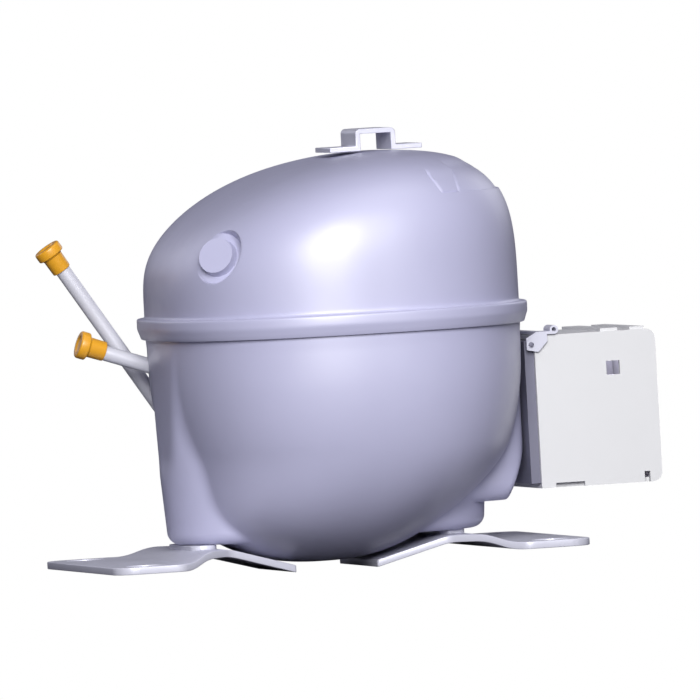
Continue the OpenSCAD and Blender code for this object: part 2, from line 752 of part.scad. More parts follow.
module crankshaft() {
    color(bright) translate([motor_x, 0, 0]) difference() {
        union() {
            translate([0, 0, shaft_low]) cylinder(d = shaft_d, h = web_z - shaft_low + 1, $fn = 64);
            translate([0, 0, web_z]) cylinder(d = shaft_d + 8, h = web_t, $fn = 64);
            translate([crank_r, 0, web_z]) cylinder(d = pin_d + 7, h = web_t, $fn = 64);
            translate([crank_r, 0, web_z]) cylinder(d = pin_d, h = pin_top - web_z, $fn = 64);
        }
        translate([0, 0, shaft_low - 1]) cylinder(d = 4, h = 70, $fn = 32);
        translate([crank_r / 2, 0, pin_top - 6]) cylinder(d = nozzle_d + 2 * fit, h = 8, $fn = 32);
    }
}
module oil_nozzle() {
    color(gold) translate([motor_x + crank_r / 2, 0, pin_top - 5.8]) ring(nozzle_d, 1.2, 6);
}
module thrust_washer() {
    color(gold) translate([motor_x, 0, block_top]) ring(shaft_d + 9, shaft_d + 0.6, 1.2);
}
module oil_pump() {
    color(ivory) translate([motor_x, 0, shaft_low]) rotate_extrude($fn = 64) polygon([
        [2, 0], [shaft_d / 2, 0], [shaft_d / 2 - 1, -5], [4.4, -20], [4.4, -23], [2, -23]]);
}

// ---------- pump ----------
yoke_r = 13;
slider_r = 10;
slider_l = 20;
yoke_l = slider_l + 2 * crank_r + 5;
crown_x = yoke_r + 22;
skirt_at = pin_d / 2 + 2;
bore_start = crank_r + yoke_r + 0.9;
head_face = crank_r + crown_x + 0.5;
head_w = 44;
head_bolt = 18;
reed_t = 0.3;
plate_h = 3;
gasket_t = 0.8;
head_h = 14;
module along_y(x, z, l) {
    translate([x, l / 2, z]) rotate([90, 0, 0]) children();
}
module cylinder_block() {
    color(cast) difference() {
        union() {
            translate([motor_x, 0, block_z]) rounded_box([stator_l - 8, stator_w - 6, block_t], 9);
            translate([motor_x, 0, hub_low]) cylinder(d = hub_d, h = block_z - hub_low + 1, $fn = 64);
            bolt_places() translate([0, 0, stator_top]) cylinder(d = 12, h = block_z - stator_top + 1,
                $fn = 48);
            translate([motor_x + bore_start, -head_w / 2, block_top - 1])
                cube([head_face - bore_start, head_w, cyl_z - block_top + 1]);
            along_x(motor_x + bore_start, 0, cyl_z)
                rounded_box([head_w, head_w, head_face - bore_start], 6);
        }
        translate([motor_x, 0, hub_low - 1]) cylinder(d = shaft_d + 2 * fit, h = 60, $fn = 64);
        along_x(motor_x + bore_start - 1, 0, cyl_z)
            cylinder(d = bore_d, h = head_face - bore_start + 2, $fn = 96);
        bolt_places() translate([0, 0, stator_top - 1]) cylinder(d = bolt_d, h = 40, $fn = 32);
        head_bolt_places() along_x(motor_x + head_face - 14, 0, 0) cylinder(d = 4, h = 15, $fn = 32);
    }
}
module head_bolt_places() {
    for (i = [-1, 1], j = [-1, 1]) {
        translate([0, i * head_bolt, cyl_z + j * head_bolt]) children();
    }
}
module slider_block() {
    color(cast) difference() {
        along_y(motor_x + crank_r, cyl_z, slider_l) cylinder(r = slider_r, h = slider_l, $fn = 64);
        translate([motor_x + crank_r, 0, cyl_z - 20]) cylinder(d = pin_d + 2 * fit, h = 40, $fn = 64);
    }
}
module yoke() {
    window_w = pin_d + 1.6;
    window_l = pin_d + 2 * crank_r + 1.6;
    color(bright) difference() {
        along_y(motor_x + crank_r, cyl_z, yoke_l) cylinder(r = yoke_r, h = yoke_l, $fn = 64);
        along_y(motor_x + crank_r, cyl_z, yoke_l + 2)
            cylinder(r = slider_r + fit, h = yoke_l + 2, $fn = 64);
        translate([motor_x + crank_r - window_w / 2, -window_l / 2, cyl_z - yoke_r - 1])
            cube([window_w, window_l, yoke_r]);
        translate([motor_x + crank_r, 0, cyl_z]) cylinder(d = 6, h = yoke_r + 1, $fn = 32);
    }
}
module piston() {
    color(cast) difference() {
        along_x(motor_x + crank_r + skirt_at, 0, cyl_z) difference() {
            cylinder(d = bore_d - 2 * fit, h = crown_x - skirt_at, $fn = 96);
            for (h = [crown_x - skirt_at - 5, crown_x - skirt_at - 9]) {
                translate([0, 0, h]) ring(bore_d + 2, bore_d - 1.6, 0.8);
            }
        }
        along_y(motor_x + crank_r, cyl_z, 60) cylinder(r = yoke_r, h = 60, $fn = 64);
    }
}
// A plate of the valve stack, drilled for the head bolts
module stack_plate(at, t) {
    difference() {
        along_x(motor_x + at, 0, cyl_z) rounded_box([head_w, head_w, t], 6);
        head_bolt_places() along_x(motor_x + at - 1, 0, 0) cylinder(d = 5.4, h = t + 2, $fn = 32);
        children();
    }
}
plate_at = head_face + reed_t;
gasket_at = plate_at + plate_h;
head_at = gasket_at + gasket_t;
suction_port = 6;
discharge_port = -5;
module suction_reed() {
    color(bright) stack_plate(head_face, reed_t) {
        along_x(motor_x + head_face - 1, discharge_port, cyl_z) cylinder(d = 6, h = 3, $fn = 32);
        for (s = [-1, 1]) {
            translate([motor_x + head_face - 1, suction_port + s * 4.6 - 0.3, cyl_z - 9])
                cube([3, 0.6, 16]);
        }
        translate([motor_x + head_face - 1, suction_port - 4.9, cyl_z + 6.4]) cube([3, 9.8, 0.6]);
    }
}
module valve_plate() {
    color(bright) stack_plate(plate_at, plate_h) {
        along_x(motor_x + plate_at - 1, suction_port, cyl_z) cylinder(d = 6, h = 6, $fn = 32);
        along_x(motor_x + plate_at - 1, discharge_port, cyl_z) cylinder(d = 5, h = 6, $fn = 32);
    }
}
module discharge_reed() {
    color(steel) translate([motor_x + gasket_at, discharge_port - 4, cyl_z - 13]) cube([reed_t, 8, 18]);
}
module reed_stop() {
    color(bright) {
        translate([motor_x + gasket_at + reed_t, discharge_port - 4, cyl_z - 13]) cube([1.5, 8, 6]);
        translate([motor_x + gasket_at + reed_t + 1.2, discharge_port - 4, cyl_z - 7.5]) cube([1.2, 8, 13]);
    }
}
module head_gasket() {
    color(black) stack_plate(gasket_at, gasket_t) {
        for (s = [-1, 1]) {
            translate([motor_x + gasket_at - 1, s * 7.5 - 6.5, cyl_z - 15]) cube([3, 13, 30]);
        }
    }
}
module cylinder_head() {
    color(cast) stack_plate(head_at, head_h) {
        for (s = [-1, 1]) {
            translate([motor_x + head_at - 1, s * 7.5 - 6.5, cyl_z - 15]) cube([head_h - 3, 13, 30]);
        }
        translate([motor_x + head_at + 6, -30, cyl_z]) rotate([-90, 0, 0])
            cylinder(d = 7, h = 20, $fn = 32);
    }
}
module head_bolts() {
    color(dark_steel) head_bolt_places() difference() {
        union() {
            along_x(motor_x + head_face - 12, 0, 0) cylinder(d = 4, h = head_h + 18, $fn = 32);
            along_x(motor_x + head_at + head_h, 0, 0) cylinder(d = 8, h = 4.5, $fn = 48);
        }
        along_x(motor_x + head_at + head_h + 2, 0, 0) cylinder(d = 4, h = 4, $fn = 6);
    }
}
muffler_x = motor_x + 12;
muffler_y = -head_w / 2 - 22.5;
muffler_z = block_top + 2.5;
module suction_muffler() {
    color(ivory) difference() {
        union() {
            translate([muffler_x + 17, muffler_y + 11, muffler_z]) rounded_box([34, 21, 27], 5);
            // neck that feeds the head
            translate([motor_x + head_at + 6, muffler_y + 15, cyl_z]) rotate([-90, 0, 0])
                cylinder(d = 6.8, h = -head_w / 2 - muffler_y - 10, $fn = 32);
            translate([muffler_x + 25, muffler_y + 11.5, cyl_z - 4])
                cube([motor_x + head_at + 9 - muffler_x - 25, 8, 8]);
        }
        translate([muffler_x + 17, muffler_y + 11, muffler_z + 1.6]) rounded_box([30.8, 17.8, 27], 3.4);
        // inlet mouth
        along_x(muffler_x - 1, muffler_y + 11, muffler_z + 9) cylinder(d = 8, h = 4, $fn = 32);
    }
}
module muffler_lid() {
    color(ivory) {
        translate([muffler_x + 17, muffler_y + 11, muffler_z + 27]) rounded_box([34, 21, 1.8], 5);
        translate([muffler_x + 17, muffler_y + 11, muffler_z + 24.5]) rounded_box([30.4, 17.4, 3], 3.2);
    }
}
can_x = motor_x - 22.5;
can_y = 33;
can_r = 11;
module discharge_muffler() {
    color(dark_steel) translate([can_x, can_y, block_top]) difference() {
        rotate_extrude($fn = 64) polygon([[0, 0], [can_r, 0], [can_r, 16], [can_r - 3, 20.5], [0, 22]]);
        translate([0, 0, 1.2]) cylinder(r = can_r - 1.2, h = 14.5, $fn = 64);
    }
}
loop_d = 4.8;
loop_end = discharge_root + tube_inside * [cos(discharge_rise), 0, -sin(discharge_rise)];
loop_points = [
    [can_x - can_r - 0.2, 33, 114], [-38, 33.5, 114], [-43, 31, 113], [-46, 25, 111], [-47, 17, 109],
    [-47, 8, 107], [-47, -2, 105], [-46.5, -10, 102], [-46, -15, 97.5], [-45.5, -16, 92],
    [-45.5, -12, 87], [-45.5, -4, 83.5], [-45.5, 6, 80.5], [-45, 16, 78], [-44.4, 24, 76.6],
    [-45.4, 28.8, 76.8], loop_end + [0.2, 0, -0.07]];
function smooth(p, n) = n == 0 ? p : smooth([p[0], for (i = [0 : len(p) - 2])
    each [p[i] * 0.75 + p[i + 1] * 0.25, p[i] * 0.25 + p[i + 1] * 0.75], p[len(p) - 1]], n - 1);
module discharge_loop() {
    color(copper) swept(smooth(loop_points, 1), loop_d / 2, 8, [0.9, 0.2, 0.3]);
}

// ---------- leads ----------
plug_x = boss_x - 18;
module lead_plug() {
    color(ivory) difference() {
        translate([plug_x, -13, terminal_z - 9]) cube([12, 26, 22]);
        pin_places() along_x(plug_x + 1, 0, 0) cylinder(d = pin_wire + 0.2, h = 14, $fn = 32);
    }
}
wire_d = 2.2;
wire_colors = [black, "white", "red"];
module lead_wires() {
    for (k = [-1, 0, 1]) {
        y = k * 7;
        path = [[plug_x - 0.1, y, terminal_z + 2], [plug_x - 4, y, terminal_z + 3],
            [plug_x - 8, y, terminal_z + 8],
            [plug_x - 10, y, terminal_z + 16], [plug_x - 11, y, stator_top + 1],
            [plug_x - 14, y * 0.9, stator_top + 5], [plug_x - 19, y * 0.8, stator_top + 6],
            [motor_x + winding_out + 0.4, y * 0.75, stator_top + 6]];
        color(wire_colors[k + 1]) swept(smooth(path, 1), wire_d / 2, 6, [0, 1, 0]);
    }
}

lower_shell();
upper_shell();
foot_plate_left();
foot_plate_right();
top_bracket();
suction_tube();
discharge_tube();
process_tube();
plug_suction();
plug_discharge();
plug_process();
terminal_cup();
terminal_glass();
terminal_pins();
terminal_fence();
start_relay();
overload_protector();
overload_clip();
earth_screw();
terminal_cover();
cover_latch();
spring_pegs();
spring_front_left();
spring_front_right();
spring_back_left();
spring_back_right();
spring_caps();
suspension_rail_left();
suspension_rail_right();
stator_core();
winding_lower();
winding_upper();
stator_bolts();
cylinder_block();
crankshaft();
rotor_core();
rotor_cage();
balance_weight();
thrust_washer();
oil_pump();
oil_nozzle();
slider_block();
yoke();
piston();
suction_reed();
valve_plate();
discharge_reed();
reed_stop();
head_gasket();
cylinder_head();
head_bolts();
suction_muffler();
muffler_lid();
discharge_muffler();
discharge_loop();
lead_plug();
lead_wires();
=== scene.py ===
import json
import math

import bmesh
import bpy
from mathutils import Matrix, Vector


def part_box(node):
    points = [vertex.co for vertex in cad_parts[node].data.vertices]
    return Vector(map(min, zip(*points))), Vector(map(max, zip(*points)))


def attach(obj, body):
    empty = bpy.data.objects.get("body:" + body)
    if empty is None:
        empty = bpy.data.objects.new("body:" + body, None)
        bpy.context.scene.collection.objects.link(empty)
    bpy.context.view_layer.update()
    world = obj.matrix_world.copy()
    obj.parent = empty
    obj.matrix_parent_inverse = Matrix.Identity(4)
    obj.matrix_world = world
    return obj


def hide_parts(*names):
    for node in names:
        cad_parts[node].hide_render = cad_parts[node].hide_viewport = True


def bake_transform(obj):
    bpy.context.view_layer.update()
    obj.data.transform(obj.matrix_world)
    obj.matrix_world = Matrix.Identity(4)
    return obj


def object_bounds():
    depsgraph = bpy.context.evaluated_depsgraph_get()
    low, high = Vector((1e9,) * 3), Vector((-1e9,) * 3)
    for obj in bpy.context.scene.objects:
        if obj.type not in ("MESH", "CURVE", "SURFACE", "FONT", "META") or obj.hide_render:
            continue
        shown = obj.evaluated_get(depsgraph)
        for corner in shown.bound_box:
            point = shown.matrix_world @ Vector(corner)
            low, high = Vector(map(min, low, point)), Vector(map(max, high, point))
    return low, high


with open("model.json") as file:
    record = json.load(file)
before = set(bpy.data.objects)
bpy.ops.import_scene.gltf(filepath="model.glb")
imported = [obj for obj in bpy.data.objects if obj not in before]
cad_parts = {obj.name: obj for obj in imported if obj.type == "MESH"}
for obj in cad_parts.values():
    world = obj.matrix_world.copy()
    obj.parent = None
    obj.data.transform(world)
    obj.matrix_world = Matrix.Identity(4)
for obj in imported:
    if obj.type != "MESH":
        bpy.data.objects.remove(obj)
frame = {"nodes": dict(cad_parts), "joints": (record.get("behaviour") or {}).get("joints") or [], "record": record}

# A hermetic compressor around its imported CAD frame. Sizes below are in millimetres,
# in the CAD's own frame: +X to the terminal cover, +Y to the back, +Z up.
MM = 0.001
CAD_BOX = [list(corner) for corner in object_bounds()]

# ---------- driving dimensions, the same as the CAD's ----------
SHELL_X, SHELL_A, SHELL_B, SHELL_T = 11.5, 73.5, 88.0, 3.0
BOWL_LOW, BOWL_RISE = 5.0, 40.0
SEAM_Z, SKIRT_H, DOME_Z = 92.0, 8.5, 164.5
BELLY_Z, LOBE_Z, LOBE_R = -1.6, 8.4, 32.5
MOTOR_X, LOBE_GAP, LOBE_ROUND, LOBE_DRAFT = 4.2, 33.0, 5.0, 0.07
BOSS_X, BOSS_W, BOSS_Z, BOSS_ROUND = SHELL_X + SHELL_A - 1, 30.0, 19.0, 8.0
PLAN_N, DOME_N, BELLY_N, BOSS_N = 2.4, 4.0, 2.4, 8.0
LAP_GAP = 0.15
RIM_Z = SEAM_Z + 5.8
WALL_Z = SEAM_Z + SKIRT_H + 1.1
DOME_SLOPE, DOME_PEAK_X = 0.0028, 40.0
POCKET_X, POCKET_Y = -49.0, -52.0
POCKET_R, POCKET_BOSS_R, POCKET_DEPTH = 12.0, 7.5, 4.0
POCKET_HEADING, POCKET_TILT = 230.0, 22.0
POCKET_WALL_RUN, POCKET_WALL_SLOPE, POCKET_BOSS_TOP, POCKET_BOSS_SLOPE = 1.2, 3.2, -0.4, 14.0
POCKET_RIM_ROUND, POCKET_BOSS_ROUND = 1.4, 0.7
HOLE_DX, HOLE_DY, HOLE_D, PLATE_T = 170.0, 101.6, 16.0, 3.0
FOOT_X, FOOT_Y, FOOT_CORNER = HOLE_DX / 2 + 15, HOLE_DY / 2 + 13.2, 9.0
TUBE_R, FIT = 3.15, 0.03

SEGMENTS = 360
BLEND = 2.4
MERGE = 0.0005
AXES = (Vector((1, 0, 0)), Vector((0, 1, 0)), Vector((0, 0, 1)))


# ---------- small helpers ----------
def cosd(a):
    return math.cos(math.radians(a))


def sind(a):
    return math.sin(math.radians(a))


def mix(a, b, s):
    return a + (b - a) * s


def ease(s):
    s = min(1.0, max(0.0, s))
    return s * s * (3 - 2 * s)


def smooth_max(a, b, width):
    """The larger of two lengths, with the corner between them rounded over a width."""
    h = max(0.0, width - abs(a - b)) / width
    return max(a, b) + h * h * width / 4


def smooth_min(a, b, width):
    return -smooth_max(-a, -b, width)


def new_object(name, mesh):
    piece = bpy.data.objects.new(name, mesh)
    bpy.context.scene.collection.objects.link(piece)
    return piece


def finished_mesh(name, bm, material, sharp=35):
    """Turns a bmesh in millimetres into an object in metres, smooth except at its real edges."""
    bmesh.ops.remove_doubles(bm, verts=bm.verts, dist=MERGE)
    bmesh.ops.recalc_face_normals(bm, faces=bm.faces)
    bmesh.ops.scale(bm, vec=(MM, MM, MM), verts=bm.verts)
    mesh = bpy.data.meshes.new(name)
    bm.to_mesh(mesh)
    bm.free()
    mesh.shade_smooth()
    mesh.set_sharp_from_angle(angle=math.radians(sharp))
    mesh.materials.append(material)
    return new_object(name, mesh)


def rings_to_bmesh(bm, rings, first_pole=None, last_pole=None):
    """Skins closed rings of equal size, with a point at either end where one is given."""
    verts = [[bm.verts.new(p) for p in ring] for ring in rings]
    n = len(verts[0])
    for low, high in zip(verts, verts[1:]):
        for j in range(n):
            k = (j + 1) % n
            bm.faces.new((low[j], low[k], high[k], high[j]))
    for pole, ring in ((first_pole, verts[0]), (last_pole, verts[-1])):
        if pole is not None:
            tip = bm.verts.new(pole)
            for j in range(n):
                bm.faces.new((tip, ring[j], ring[(j + 1) % n]))
    return verts


# ---------- materials ----------
class Nodes:
    """A short way to write a node tree: each call makes a node and links its inputs."""

    def __init__(self, name):
        self.material = bpy.data.materials.new(name)
        self.material.use_nodes = True
        self.tree = self.material.node_tree
        self.shader = self.tree.nodes["Principled BSDF"]
        self.place = self.add("ShaderNodeTexCoord").outputs["Object"]

    def add(self, kind, **inputs):
        node = self.tree.nodes.new(kind)
        for key, value in inputs.items():
            self.put(node.inputs[key.replace("_", " ")], value)
        return node

    def put(self, socket, value):
        if isinstance(value, bpy.types.NodeSocket):
            self.tree.links.new(value, socket)
        else:
            socket.default_value = value

    def noise(self, scale, detail, place=None):
        """Noise with features of about 1/scale metres."""
        node = self.add("ShaderNodeTexNoise", Scale=scale, Detail=detail)
        self.put(node.inputs["Vector"], place or self.place)
        return node.outputs["Fac"]

    def span(self, fac, low, high):
        """Spreads a noise's middle values from low to high."""
        node = self.add("ShaderNodeMapRange", From_Min=0.3, From_Max=0.7)
        self.put(node.inputs["To Min"], low)
        self.put(node.inputs["To Max"], high)
        self.put(node.inputs["Value"], fac)
        return node.outputs["Result"]

    def blend(self, fac, a, b):
        node = self.tree.nodes.new("ShaderNodeMix")
        node.data_type = "RGBA"
        self.put(node.inputs[0], fac)
        self.put(node.inputs[6], (*a, 1))
        self.put(node.inputs[7], (*b, 1))
        return node.outputs[2]

    def bump(self, height, strength, distance):
        node = self.add("ShaderNodeBump", Strength=strength, Distance=distance)
        self.put(node.inputs["Height"], height)
        self.put(self.shader.inputs["Normal"], node.outputs["Normal"])


def shade(color, factor):
    return tuple(min(1.0, c * factor) for c in color)


TONE_SCALE, GLOSS_SCALE, GLOSS_SPREAD = 35, 120, 0.15


def material(name, color, rough, metallic=0.0, vary=0.06, grain=900, grain_depth=0.00002,
             coat=0.0, streak=(1, 1, 1)):
    """A finish whose colour and gloss drift a little, over a fine surface grain stretched by streak."""
    n = Nodes(name)
    drift = n.noise(TONE_SCALE, 4)
    n.put(n.shader.inputs["Base Color"], n.blend(drift, shade(color, 1 - vary), shade(color, 1 + vary)))
    gloss = n.span(n.noise(GLOSS_SCALE, 4), rough * (1 - GLOSS_SPREAD), rough * (1 + GLOSS_SPREAD))
    n.put(n.shader.inputs["Roughness"], gloss)
    n.shader.inputs["Metallic"].default_value = metallic
    n.shader.inputs["Coat Weight"].default_value = coat
    n.shader.inputs["Coat Roughness"].default_value = 0.45
    n.shader.inputs["Coat IOR"].default_value = 1.7
    stretch = n.add("ShaderNodeMapping", Vector=n.place, Scale=streak)
    n.bump(n.noise(grain, 3, stretch.outputs["Vector"]), 0.6, grain_depth)
    return n.material


FINISHES = {
    "shell_paint": material("shell_paint", (0.41, 0.407, 0.565), 0.5, vary=0.02, grain=420,
                            grain_depth=0.00003, coat=1.0),
    "plated_steel": material("plated_steel", (0.61, 0.61, 0.70), 0.38, metallic=0.2, vary=0.05, grain=700),
    "fence_steel": material("fence_steel", (0.17, 0.168, 0.225), 0.45, metallic=0.2, vary=0.05, grain=700),
    "tube_steel": material("tube_steel", (0.60, 0.60, 0.66), 0.36, metallic=0.15, vary=0.04, grain=900,
                           streak=(1, 1, 0.1)),
    "plug_rubber": material("plug_rubber", (0.66, 0.31, 0.012), 0.34, vary=0.12, grain=600, coat=0.2),
    "machined_steel": material("machined_steel", (0.56, 0.56, 0.58), 0.28, metallic=0.9, grain=1500,
                               streak=(1, 1, 0.05)),
    "terminal_glass": material("terminal_glass", (0.03, 0.10, 0.08), 0.12, vary=0.2, coat=0.5),
    "relay_plastic": material("relay_plastic", (0.62, 0.56, 0.42), 0.5, vary=0.05, grain=1100),
    "protector_plastic": material("protector_plastic", (0.02, 0.02, 0.022), 0.35, vary=0.3, grain=1100),
    "cover_plastic": material("cover_plastic", (0.60, 0.60, 0.61), 0.5, vary=0.015, grain=1300,
                              grain_depth=0.000015),
    "brass": material("brass", (0.60, 0.40, 0.12), 0.3, metallic=0.9, grain=1200),
    "spring_steel": material("spring_steel", (0.12, 0.12, 0.14), 0.35, metallic=0.8, grain=900),
    "lamination": material("lamination", (0.13, 0.135, 0.16), 0.5, metallic=0.7, vary=0.15, grain=1400,
                           streak=(0.04, 0.04, 1)),
    "copper": material("copper", (0.55, 0.22, 0.08), 0.32, metallic=0.75, vary=0.15, grain=1600,
                       grain_depth=0.00015),
    "cast_iron": material("cast_iron", (0.12, 0.125, 0.13), 0.55, metallic=0.6, vary=0.15, grain=800,
                          grain_depth=0.00012),
    "cage_aluminium": material("cage_aluminium", (0.55, 0.56, 0.58), 0.4, metallic=0.9, grain=900),
    "gasket": material("gasket", (0.02, 0.024, 0.022), 0.7, vary=0.3, grain=1300),
    "wire_insulation": material("wire_insulation", (0.35, 0.03, 0.02), 0.4, vary=0.08, grain=1000),
}


# ---------- shell surfaces ----------
def super_r(a, b, n, th):
    return (abs(cosd(th) / a) ** n + abs(sind(th) / b) ** n) ** (-1 / n)


def plan_r(off, th):
    return super_r(SHELL_A + off, SHELL_B + off, PLAN_N, th)


def wall_point(off, th, z):
    r = plan_r(off, th)
    return Vector((SHELL_X + r * cosd(th), r * sind(th), z))


def dome_top(x):
    return DOME_Z - DOME_SLOPE * max(0.0, DOME_PEAK_X - x) ** 2


def dome_point(off, th, t):
    r = plan_r(off, th) * max(0.0, cosd(t)) ** (2 / DOME_N)
    x = SHELL_X + r * cosd(th)
    height = (dome_top(x) + off - WALL_Z) * sind(t) ** (2 / DOME_N)
    return Vector((x, r * sind(th), WALL_Z + height))


def dome_level(p):
    """Below 1 inside the dome's outer surface and above 1 outside it."""
    share = abs((p.x - SHELL_X) / SHELL_A) ** PLAN_N + abs(p.y / SHELL_B) ** PLAN_N
    rise = max(0.0, (p.z - WALL_Z) / (dome_top(p.x) - WALL_Z))
    return share ** (DOME_N / PLAN_N) + rise ** DOME_N


def dome_normal(p):
    """Direction straight out of the dome near its outer surface."""
    small = 0.01
    slope = [dome_level(p + small * axis) - dome_level(p - small * axis) for axis in AXES]
    return Vector(slope).normalized()


def bowl_x(z):
    return SHELL_X * ease((z - BOWL_LOW) / BOWL_RISE)


def bowl_share(z):
    sunk = min(1.0, max(0.0, (SEAM_Z - z) / (SEAM_Z - BELLY_Z)))
    return (1 - sunk ** BELLY_N) ** (1 / BELLY_N)


def corner(r, low, z):
    if z >= low + r:
        return 0.0
    return -r + math.sqrt(max(0.0, r * r - (low + r - z) ** 2))


def circle_ray(x, r, th):
    """Distance from the origin, along th, to a circle of radius r centred at x on the X axis."""
    reach = r * r - (x * sind(th)) ** 2
    return 0.0 if reach < 0 else max(0.0, x * cosd(th) + math.sqrt(reach))


def lobe_ray(side, off, th, z):
    r = LOBE_R + off + corner(LOBE_ROUND, LOBE_Z - off, z) + LOBE_DRAFT * (z - LOBE_Z)
    return circle_ray(MOTOR_X + side * LOBE_GAP - bowl_x(z), max(0.1, r), th)


def boss_ray(off, th, z):
    if cosd(th) <= 0:
        return 0.0
    grow = off + corner(BOSS_ROUND, BOSS_Z - off, z)
    return super_r(BOSS_X + grow - bowl_x(z), BOSS_W + grow, BOSS_N, th)


def lower_point(off, th, z, with_lobe, with_boss):
    """A point of the lower shell; the lobes and the terminal's boss start above their undersides."""
    k = bowl_share(z)
    r = super_r(max(0.5, SHELL_A * k + off), max(0.5, SHELL_B * k + off), PLAN_N, th)
    if with_lobe:
        for side in (-1, 1):
            r = smooth_max(r, lobe_ray(side, off, th, z), BLEND)
    if with_boss:
        r = smooth_max(r, boss_ray(off, th, z), BLEND)
    r = smooth_min(r, plan_r(off, th), BLEND / 2)
    return Vector((bowl_x(z) + r * cosd(th), r * sind(th), z))


def lower_levels(off, steps):
    """Heights of the lower shell's rings, each with its lobe and boss switches."""
    floor_z, lobe_low, boss_low = BELLY_Z - off, LOBE_Z - off, BOSS_Z - off
    heights = {SEAM_Z - (SEAM_Z - floor_z) * sind(90 * k / steps) ** (2 / BELLY_N) for k in range(1, steps)}
    for low, r in ((lobe_low, LOBE_ROUND), (boss_low, BOSS_ROUND)):
        heights |= {low + r * (1 - cosd(90 * k / 10)) for k in range(1, 11)}
    tops = sorted(z for z in heights if floor_z + 0.05 < z < SEAM_Z - 0.5)
    levels = [(z, False, False) for z in tops if z < lobe_low - 0.05] + [(lobe_low, False, False)]
    levels += [(lobe_low, True, False)]
    levels += [(z, True, False) for z in tops if lobe_low + 0.02 < z < boss_low - 0.05]
    levels += [(boss_low, True, False), (boss_low, True, True)]
    levels += [(z, True, True) for z in tops if z > boss_low + 0.02]
    return levels


def turn(points):
    return [360 * j / points for j in range(points)]


def wall_ring(off, z):
    return [wall_point(off, th, z) for th in turn(SEGMENTS)]


def lower_rings(off, steps):
    return [[lower_point(off, th, z, lobe, boss) for th in turn(SEGMENTS)]
            for z, lobe, boss in lower_levels(off, steps)]


def make_lower_shell():
    bm = bmesh.new()
    outer = lower_rings(0, 72) + [wall_ring(0, SEAM_Z), wall_ring(0, RIM_Z)]
    inner = lower_rings(-SHELL_T, 24) + [wall_ring(-SHELL_T, SEAM_Z), wall_ring(-SHELL_T, RIM_Z)]
    rings_to_bmesh(bm, outer + inner[::-1], (0, 0, BELLY_Z), (0, 0, BELLY_Z + SHELL_T))
    return finished_mesh("lower_shell_drawn", bm, FINISHES["shell_paint"], sharp=50)


# The skirt's outline as offset from the wall and height above the seam
SKIRT = [(LAP_GAP, 0.0), (1.25, 0.0), (1.6, 0.1), (1.85, 0.5), (2.35, 2.0), (2.8, 3.3), (3.02, 4.0),
         (3.13, 4.6), (3.15, 5.2), (3.15, 7.5), (3.08, 8.0), (2.85, 8.35), (2.5, 8.5), (1.1, 8.5),
         (0.62, 8.6), (0.25, 8.95), (0.06, 9.35)]


def dome_rings(off, steps):
    return [[dome_point(off, th, 90 * sind(90 * k / steps) ** 2) for th in turn(SEGMENTS)]
            for k in range(steps)]


def pocket_frame():
    """Matrix whose Z axis stands out of the pocket, from its middle on the dome's surface."""
    share = abs((POCKET_X - SHELL_X) / SHELL_A) ** PLAN_N + abs(POCKET_Y / SHELL_B) ** PLAN_N
    height = (dome_top(POCKET_X) - WALL_Z) * (1 - share ** (DOME_N / PLAN_N)) ** (1 / DOME_N)
    spot = Matrix.Translation((POCKET_X, POCKET_Y, WALL_Z + height))
    return (spot @ Matrix.Rotation(math.radians(POCKET_HEADING), 4, "Z")
            @ Matrix.Rotation(math.radians(90 - POCKET_TILT), 4, "Y"))


def dome_height(to_world, x, y):
    """Height of the dome's surface over a point of the pocket's own plane."""
    low, high = -25.0, 20.0
    for _ in range(30):
        middle = (low + high) / 2
        if dome_level(to_world @ Vector((x, y, middle))) < 1:
            low = middle
        else:
            high = middle
    return low


def pocket_height(dome, rho):
    """The pocket is pressed below the dome, and its round boss stands up from the floor."""
    wall = -POCKET_DEPTH + max(0.0, rho - POCKET_R + POCKET_WALL_RUN) * POCKET_WALL_SLOPE
    boss = POCKET_BOSS_TOP - max(0.0, rho - POCKET_BOSS_R) * POCKET_BOSS_SLOPE
    return smooth_max(smooth_min(dome, wall, POCKET_RIM_ROUND), boss, POCKET_BOSS_ROUND)


def pocket_radii():
    """The patch's rings: close together at the boss's edge and at the pocket's, and wide elsewhere."""
    fine = 0.16
    radii = [0.8 * k for k in range(1, 8)]
    for edge, width in ((POCKET_BOSS_R, 0.9), (POCKET_R, 1.6)):
        steps = int(2 * width / fine)
        radii += [edge - width + 2 * width * k / steps for k in range(steps + 1)]
    radii += [9.2, 9.8, 14.2, 14.8, 15.4]
    return sorted(radii)


def add_pocket(bm, seam):
    """Swaps the dome's skin round the pocket for a finer round patch; seam is the mesh's open edge."""
    to_world = pocket_frame()
    to_local = to_world.inverted()
    radii = pocket_radii()
    reach, depth = radii[-1] + 0.4, 22.0

    def near(v):
        p = to_local @ v.co
        return math.hypot(p.x, p.y) < reach and abs(p.z) < depth

    bmesh.ops.delete(bm, geom=[f for f in bm.faces if any(near(v) for v in f.verts)], context="FACES")
    rim = [e for e in bm.edges if e.is_boundary and e not in seam]
    around = 144
    rings = []
    for rho in radii:
        ring = []
        for th in turn(around):
            x, y = rho * cosd(th), rho * sind(th)
            dome = dome_height(to_world, x, y)
            z = pocket_height(dome, rho) if rho < radii[-3] else dome
            ring.append(to_world @ Vector((x, y, z)))
        rings.append(ring)
    centre = to_world @ Vector((0, 0, pocket_height(0, 0)))
    verts = rings_to_bmesh(bm, rings, first_pole=centre)
    edge = [bm.edges.get((verts[-1][j], verts[-1][(j + 1) % around])) for j in range(around)]
    bmesh.ops.triangle_fill(bm, use_beauty=True, edges=rim + edge)


